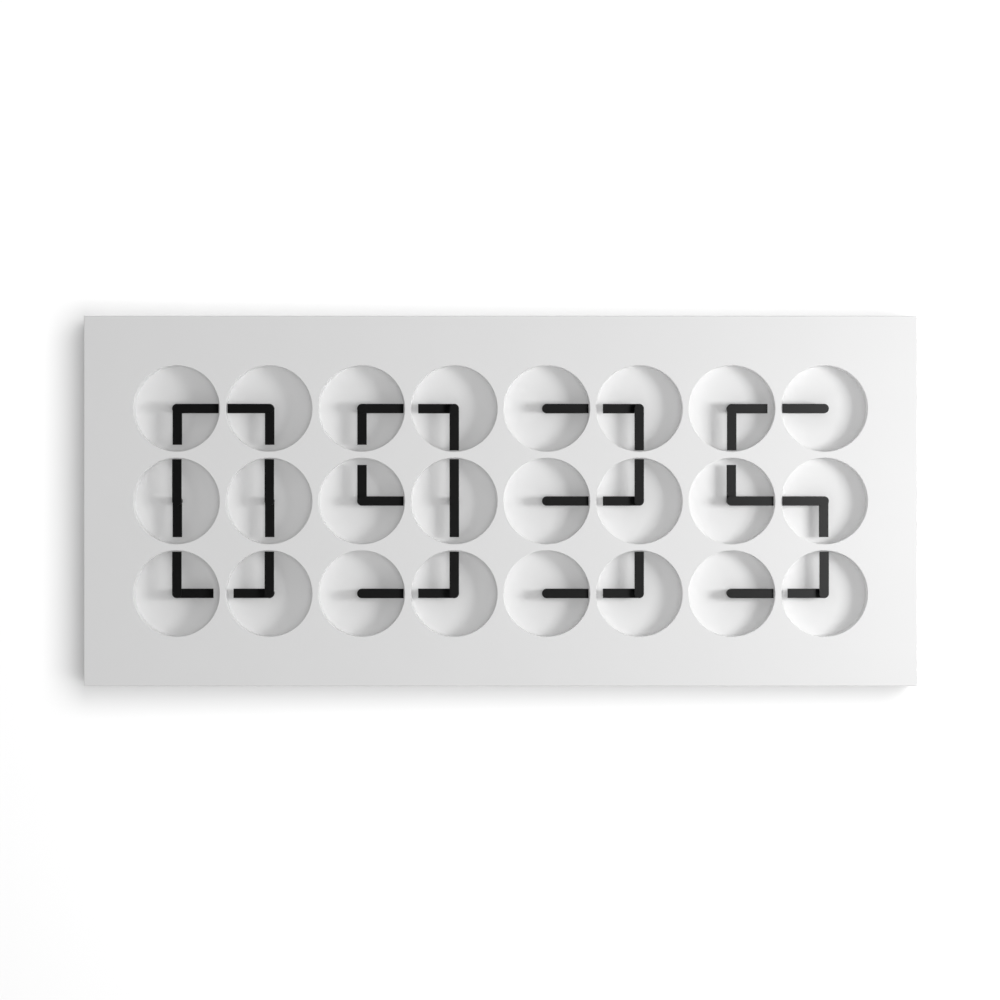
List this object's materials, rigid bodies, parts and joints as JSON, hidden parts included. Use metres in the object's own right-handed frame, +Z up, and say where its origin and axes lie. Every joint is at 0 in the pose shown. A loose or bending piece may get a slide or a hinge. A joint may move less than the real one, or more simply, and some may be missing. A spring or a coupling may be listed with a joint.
{
  "type": "kinetic wall clock",
  "caption": "Wall clock with a flat white face of round sunk dials in a grid; each dial's two black hands turn on their own so that together they draw digits.",
  "frame": {"origin": "middle of the back, on the wall", "axes": "+X to the right along the face, +Y into the wall, +Z up"},
  "size_m": [0.8324, 0.05, 0.37],
  "materials": {
    "casing_white": "white satin lacquer",
    "dial_white": "white satin",
    "cover_plastic": "fine grain",
    "bush_black": "black",
    "movement_plastic": "moulded",
    "board_green": "solder mask",
    "standoff_metal": "turned",
    "screw_steel": "zinc",
    "inlet_black": "moulded",
    "button_grey": "moulded",
    "hand_black": "satin black"
  },
  "bodies": {
    "casing": {"casing": "casing_white", "dial_plate": "dial_white", "back_cover": "cover_plastic", "centre_bushes": "bush_black", "movements": "movement_plastic", "driver_boards": "board_green", "control_board": "board_green", "standoffs": "standoff_metal", "screws": "screw_steel", "dc_jack": "inlet_black"},
    "mode_button": {"mode_button": "button_grey"},
    "set_button": {"set_button": "button_grey"},
    "minute_hand_r1_c1": {"minute_hand_r1_c1": "hand_black"},
    "hour_hand_r1_c1": {"hour_hand_r1_c1": "hand_black"},
    "minute_hand_r1_c2": {"minute_hand_r1_c2": "hand_black"},
    "hour_hand_r1_c2": {"hour_hand_r1_c2": "hand_black"},
    "minute_hand_r1_c3": {"minute_hand_r1_c3": "hand_black"},
    "hour_hand_r1_c3": {"hour_hand_r1_c3": "hand_black"},
    "minute_hand_r1_c4": {"minute_hand_r1_c4": "hand_black"},
    "hour_hand_r1_c4": {"hour_hand_r1_c4": "hand_black"},
    "minute_hand_r1_c5": {"minute_hand_r1_c5": "hand_black"},
    "hour_hand_r1_c5": {"hour_hand_r1_c5": "hand_black"},
    "minute_hand_r1_c6": {"minute_hand_r1_c6": "hand_black"},
    "hour_hand_r1_c6": {"hour_hand_r1_c6": "hand_black"},
    "minute_hand_r1_c7": {"minute_hand_r1_c7": "hand_black"},
    "hour_hand_r1_c7": {"hour_hand_r1_c7": "hand_black"},
    "minute_hand_r1_c8": {"minute_hand_r1_c8": "hand_black"},
    "hour_hand_r1_c8": {"hour_hand_r1_c8": "hand_black"},
    "minute_hand_r2_c1": {"minute_hand_r2_c1": "hand_black"},
    "hour_hand_r2_c1": {"hour_hand_r2_c1": "hand_black"},
    "minute_hand_r2_c2": {"minute_hand_r2_c2": "hand_black"},
    "hour_hand_r2_c2": {"hour_hand_r2_c2": "hand_black"},
    "minute_hand_r2_c3": {"minute_hand_r2_c3": "hand_black"},
    "hour_hand_r2_c3": {"hour_hand_r2_c3": "hand_black"},
    "minute_hand_r2_c4": {"minute_hand_r2_c4": "hand_black"},
    "hour_hand_r2_c4": {"hour_hand_r2_c4": "hand_black"},
    "minute_hand_r2_c5": {"minute_hand_r2_c5": "hand_black"},
    "hour_hand_r2_c5": {"hour_hand_r2_c5": "hand_black"},
    "minute_hand_r2_c6": {"minute_hand_r2_c6": "hand_black"},
    "hour_hand_r2_c6": {"hour_hand_r2_c6": "hand_black"},
    "minute_hand_r2_c7": {"minute_hand_r2_c7": "hand_black"},
    "hour_hand_r2_c7": {"hour_hand_r2_c7": "hand_black"},
    "minute_hand_r2_c8": {"minute_hand_r2_c8": "hand_black"},
    "hour_hand_r2_c8": {"hour_hand_r2_c8": "hand_black"},
    "minute_hand_r3_c1": {"minute_hand_r3_c1": "hand_black"},
    "hour_hand_r3_c1": {"hour_hand_r3_c1": "hand_black"},
    "minute_hand_r3_c2": {"minute_hand_r3_c2": "hand_black"},
    "hour_hand_r3_c2": {"hour_hand_r3_c2": "hand_black"},
    "minute_hand_r3_c3": {"minute_hand_r3_c3": "hand_black"},
    "hour_hand_r3_c3": {"hour_hand_r3_c3": "hand_black"},
    "minute_hand_r3_c4": {"minute_hand_r3_c4": "hand_black"},
    "hour_hand_r3_c4": {"hour_hand_r3_c4": "hand_black"},
    "minute_hand_r3_c5": {"minute_hand_r3_c5": "hand_black"},
    "hour_hand_r3_c5": {"hour_hand_r3_c5": "hand_black"},
    "minute_hand_r3_c6": {"minute_hand_r3_c6": "hand_black"},
    "hour_hand_r3_c6": {"hour_hand_r3_c6": "hand_black"},
    "minute_hand_r3_c7": {"minute_hand_r3_c7": "hand_black"},
    "hour_hand_r3_c7": {"hour_hand_r3_c7": "hand_black"},
    "minute_hand_r3_c8": {"minute_hand_r3_c8": "hand_black"},
    "hour_hand_r3_c8": {"hour_hand_r3_c8": "hand_black"}
  },
  "joints": [
    {"name": "mode_press", "type": "slide", "parent": "casing", "child": "mode_button", "axis": [0, -1, 0], "range_m": [0, 0.0012], "stiffness_N_per_m": 400},
    {"name": "set_press", "type": "slide", "parent": "casing", "child": "set_button", "axis": [0, -1, 0], "range_m": [0, 0.0012], "stiffness_N_per_m": 400},
    {"name": "minute_turn_r1_c1", "type": "hinge", "parent": "casing", "child": "minute_hand_r1_c1", "pos_m": [-0.32375, -0.045, 0.0925], "axis": [0, 1, 0], "continuous": true},
    {"name": "hour_turn_r1_c1", "type": "hinge", "parent": "casing", "child": "hour_hand_r1_c1", "pos_m": [-0.32375, -0.045, 0.0925], "axis": [0, 1, 0], "continuous": true},
    {"name": "minute_turn_r1_c2", "type": "hinge", "parent": "casing", "child": "minute_hand_r1_c2", "pos_m": [-0.23125, -0.045, 0.0925], "axis": [0, 1, 0], "continuous": true},
    {"name": "hour_turn_r1_c2", "type": "hinge", "parent": "casing", "child": "hour_hand_r1_c2", "pos_m": [-0.23125, -0.045, 0.0925], "axis": [0, 1, 0], "continuous": true},
    {"name": "minute_turn_r1_c3", "type": "hinge", "parent": "casing", "child": "minute_hand_r1_c3", "pos_m": [-0.13875, -0.045, 0.0925], "axis": [0, 1, 0], "continuous": true},
    {"name": "hour_turn_r1_c3", "type": "hinge", "parent": "casing", "child": "hour_hand_r1_c3", "pos_m": [-0.13875, -0.045, 0.0925], "axis": [0, 1, 0], "continuous": true},
    {"name": "minute_turn_r1_c4", "type": "hinge", "parent": "casing", "child": "minute_hand_r1_c4", "pos_m": [-0.04625, -0.045, 0.0925], "axis": [0, 1, 0], "continuous": true},
    {"name": "hour_turn_r1_c4", "type": "hinge", "parent": "casing", "child": "hour_hand_r1_c4", "pos_m": [-0.04625, -0.045, 0.0925], "axis": [0, 1, 0], "continuous": true},
    {"name": "minute_turn_r1_c5", "type": "hinge", "parent": "casing", "child": "minute_hand_r1_c5", "pos_m": [0.04625, -0.045, 0.0925], "axis": [0, 1, 0], "continuous": true},
    {"name": "hour_turn_r1_c5", "type": "hinge", "parent": "casing", "child": "hour_hand_r1_c5", "pos_m": [0.04625, -0.045, 0.0925], "axis": [0, 1, 0], "continuous": true},
    {"name": "minute_turn_r1_c6", "type": "hinge", "parent": "casing", "child": "minute_hand_r1_c6", "pos_m": [0.13875, -0.045, 0.0925], "axis": [0, 1, 0], "continuous": true},
    {"name": "hour_turn_r1_c6", "type": "hinge", "parent": "casing", "child": "hour_hand_r1_c6", "pos_m": [0.13875, -0.045, 0.0925], "axis": [0, 1, 0], "continuous": true},
    {"name": "minute_turn_r1_c7", "type": "hinge", "parent": "casing", "child": "minute_hand_r1_c7", "pos_m": [0.23125, -0.045, 0.0925], "axis": [0, 1, 0], "continuous": true},
    {"name": "hour_turn_r1_c7", "type": "hinge", "parent": "casing", "child": "hour_hand_r1_c7", "pos_m": [0.23125, -0.045, 0.0925], "axis": [0, 1, 0], "continuous": true},
    {"name": "minute_turn_r1_c8", "type": "hinge", "parent": "casing", "child": "minute_hand_r1_c8", "pos_m": [0.32375, -0.045, 0.0925], "axis": [0, 1, 0], "continuous": true},
    {"name": "hour_turn_r1_c8", "type": "hinge", "parent": "casing", "child": "hour_hand_r1_c8", "pos_m": [0.32375, -0.045, 0.0925], "axis": [0, 1, 0], "continuous": true},
    {"name": "minute_turn_r2_c1", "type": "hinge", "parent": "casing", "child": "minute_hand_r2_c1", "pos_m": [-0.32375, -0.045, 0], "axis": [0, 1, 0], "continuous": true},
    {"name": "hour_turn_r2_c1", "type": "hinge", "parent": "casing", "child": "hour_hand_r2_c1", "pos_m": [-0.32375, -0.045, 0], "axis": [0, 1, 0], "continuous": true},
    {"name": "minute_turn_r2_c2", "type": "hinge", "parent": "casing", "child": "minute_hand_r2_c2", "pos_m": [-0.23125, -0.045, 0], "axis": [0, 1, 0], "continuous": true},
    {"name": "hour_turn_r2_c2", "type": "hinge", "parent": "casing", "child": "hour_hand_r2_c2", "pos_m": [-0.23125, -0.045, 0], "axis": [0, 1, 0], "continuous": true},
    {"name": "minute_turn_r2_c3", "type": "hinge", "parent": "casing", "child": "minute_hand_r2_c3", "pos_m": [-0.13875, -0.045, 0], "axis": [0, 1, 0], "continuous": true},
    {"name": "hour_turn_r2_c3", "type": "hinge", "parent": "casing", "child": "hour_hand_r2_c3", "pos_m": [-0.13875, -0.045, 0], "axis": [0, 1, 0], "continuous": true},
    {"name": "minute_turn_r2_c4", "type": "hinge", "parent": "casing", "child": "minute_hand_r2_c4", "pos_m": [-0.04625, -0.045, 0], "axis": [0, 1, 0], "continuous": true},
    {"name": "hour_turn_r2_c4", "type": "hinge", "parent": "casing", "child": "hour_hand_r2_c4", "pos_m": [-0.04625, -0.045, 0], "axis": [0, 1, 0], "continuous": true},
    {"name": "minute_turn_r2_c5", "type": "hinge", "parent": "casing", "child": "minute_hand_r2_c5", "pos_m": [0.04625, -0.045, 0], "axis": [0, 1, 0], "continuous": true},
    {"name": "hour_turn_r2_c5", "type": "hinge", "parent": "casing", "child": "hour_hand_r2_c5", "pos_m": [0.04625, -0.045, 0], "axis": [0, 1, 0], "continuous": true},
    {"name": "minute_turn_r2_c6", "type": "hinge", "parent": "casing", "child": "minute_hand_r2_c6", "pos_m": [0.13875, -0.045, 0], "axis": [0, 1, 0], "continuous": true},
    {"name": "hour_turn_r2_c6", "type": "hinge", "parent": "casing", "child": "hour_hand_r2_c6", "pos_m": [0.13875, -0.045, 0], "axis": [0, 1, 0], "continuous": true},
    {"name": "minute_turn_r2_c7", "type": "hinge", "parent": "casing", "child": "minute_hand_r2_c7", "pos_m": [0.23125, -0.045, 0], "axis": [0, 1, 0], "continuous": true},
    {"name": "hour_turn_r2_c7", "type": "hinge", "parent": "casing", "child": "hour_hand_r2_c7", "pos_m": [0.23125, -0.045, 0], "axis": [0, 1, 0], "continuous": true},
    {"name": "minute_turn_r2_c8", "type": "hinge", "parent": "casing", "child": "minute_hand_r2_c8", "pos_m": [0.32375, -0.045, 0], "axis": [0, 1, 0], "continuous": true},
    {"name": "hour_turn_r2_c8", "type": "hinge", "parent": "casing", "child": "hour_hand_r2_c8", "pos_m": [0.32375, -0.045, 0], "axis": [0, 1, 0], "continuous": true},
    {"name": "minute_turn_r3_c1", "type": "hinge", "parent": "casing", "child": "minute_hand_r3_c1", "pos_m": [-0.32375, -0.045, -0.0925], "axis": [0, 1, 0], "continuous": true},
    {"name": "hour_turn_r3_c1", "type": "hinge", "parent": "casing", "child": "hour_hand_r3_c1", "pos_m": [-0.32375, -0.045, -0.0925], "axis": [0, 1, 0], "continuous": true},
    {"name": "minute_turn_r3_c2", "type": "hinge", "parent": "casing", "child": "minute_hand_r3_c2", "pos_m": [-0.23125, -0.045, -0.0925], "axis": [0, 1, 0], "continuous": true},
    {"name": "hour_turn_r3_c2", "type": "hinge", "parent": "casing", "child": "hour_hand_r3_c2", "pos_m": [-0.23125, -0.045, -0.0925], "axis": [0, 1, 0], "continuous": true},
    {"name": "minute_turn_r3_c3", "type": "hinge", "parent": "casing", "child": "minute_hand_r3_c3", "pos_m": [-0.13875, -0.045, -0.0925], "axis": [0, 1, 0], "continuous": true},
    {"name": "hour_turn_r3_c3", "type": "hinge", "parent": "casing", "child": "hour_hand_r3_c3", "pos_m": [-0.13875, -0.045, -0.0925], "axis": [0, 1, 0], "continuous": true},
    {"name": "minute_turn_r3_c4", "type": "hinge", "parent": "casing", "child": "minute_hand_r3_c4", "pos_m": [-0.04625, -0.045, -0.0925], "axis": [0, 1, 0], "continuous": true},
    {"name": "hour_turn_r3_c4", "type": "hinge", "parent": "casing", "child": "hour_hand_r3_c4", "pos_m": [-0.04625, -0.045, -0.0925], "axis": [0, 1, 0], "continuous": true},
    {"name": "minute_turn_r3_c5", "type": "hinge", "parent": "casing", "child": "minute_hand_r3_c5", "pos_m": [0.04625, -0.045, -0.0925], "axis": [0, 1, 0], "continuous": true},
    {"name": "hour_turn_r3_c5", "type": "hinge", "parent": "casing", "child": "hour_hand_r3_c5", "pos_m": [0.04625, -0.045, -0.0925], "axis": [0, 1, 0], "continuous": true},
    {"name": "minute_turn_r3_c6", "type": "hinge", "parent": "casing", "child": "minute_hand_r3_c6", "pos_m": [0.13875, -0.045, -0.0925], "axis": [0, 1, 0], "continuous": true},
    {"name": "hour_turn_r3_c6", "type": "hinge", "parent": "casing", "child": "hour_hand_r3_c6", "pos_m": [0.13875, -0.045, -0.0925], "axis": [0, 1, 0], "continuous": true},
    {"name": "minute_turn_r3_c7", "type": "hinge", "parent": "casing", "child": "minute_hand_r3_c7", "pos_m": [0.23125, -0.045, -0.0925], "axis": [0, 1, 0], "continuous": true},
    {"name": "hour_turn_r3_c7", "type": "hinge", "parent": "casing", "child": "hour_hand_r3_c7", "pos_m": [0.23125, -0.045, -0.0925], "axis": [0, 1, 0], "continuous": true},
    {"name": "minute_turn_r3_c8", "type": "hinge", "parent": "casing", "child": "minute_hand_r3_c8", "pos_m": [0.32375, -0.045, -0.0925], "axis": [0, 1, 0], "continuous": true},
    {"name": "hour_turn_r3_c8", "type": "hinge", "parent": "casing", "child": "hour_hand_r3_c8", "pos_m": [0.32375, -0.045, -0.0925], "axis": [0, 1, 0], "continuous": true}
  ]
}
